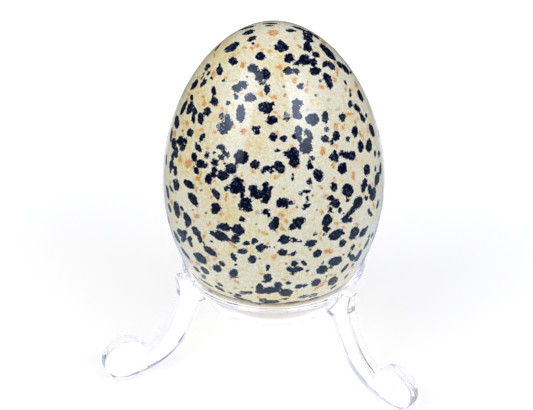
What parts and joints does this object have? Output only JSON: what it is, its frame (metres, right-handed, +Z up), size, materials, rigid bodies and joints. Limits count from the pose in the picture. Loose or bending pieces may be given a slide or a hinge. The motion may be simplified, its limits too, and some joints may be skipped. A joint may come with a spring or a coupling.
{
  "type": "polished spotted stone egg on a clear stand",
  "caption": "Machine-polished cream stone egg with black spots, standing blunt end down in the collar of a clear plastic display stand on curved legs.",
  "frame": {"origin": "middle of the footprint's box, on the surface that the feet stand on", "axes": "+Z up along the egg's axis, +Y towards the back leg, +X to the right as seen from the front, where two legs reach forward to the sides"},
  "size_m": [0.056, 0.051, 0.0649],
  "materials": {
    "spotted_stone": "polished to a high gloss, cream with black ragged spots",
    "clear_plastic": "clear and glossy, as moulded"
  },
  "bodies": {
    "root": {"egg": "spotted_stone", "stand": "clear_plastic"}
  },
  "joints": []
}
